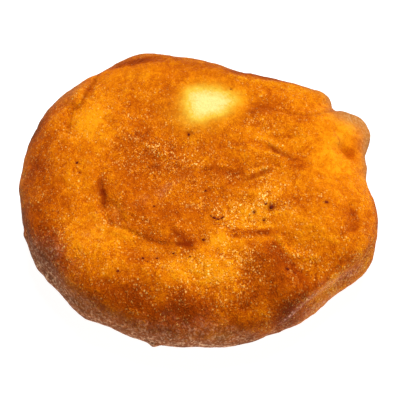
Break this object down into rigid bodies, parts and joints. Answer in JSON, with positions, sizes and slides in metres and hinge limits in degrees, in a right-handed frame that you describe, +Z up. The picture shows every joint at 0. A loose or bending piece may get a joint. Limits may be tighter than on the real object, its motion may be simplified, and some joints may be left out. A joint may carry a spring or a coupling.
{
  "type": "fried meat pie",
  "caption": "Whole round fried meat pie: puffed golden-brown dough with a sunken hub, a pale spot, folds and a pinched ear of dough.",
  "frame": {"origin": "middle of the pie's box, at the level of its flat underside", "axes": "+X right, along the pie's longest side; +Y back, away from the viewer; +Z up, through the pie's thickness"},
  "size_m": [0.1173, 0.1164, 0.0271],
  "materials": {
    "crust": "fried dough, golden to dark brown, oily"
  },
  "bodies": {
    "root": {"pie": "crust"}
  },
  "joints": []
}
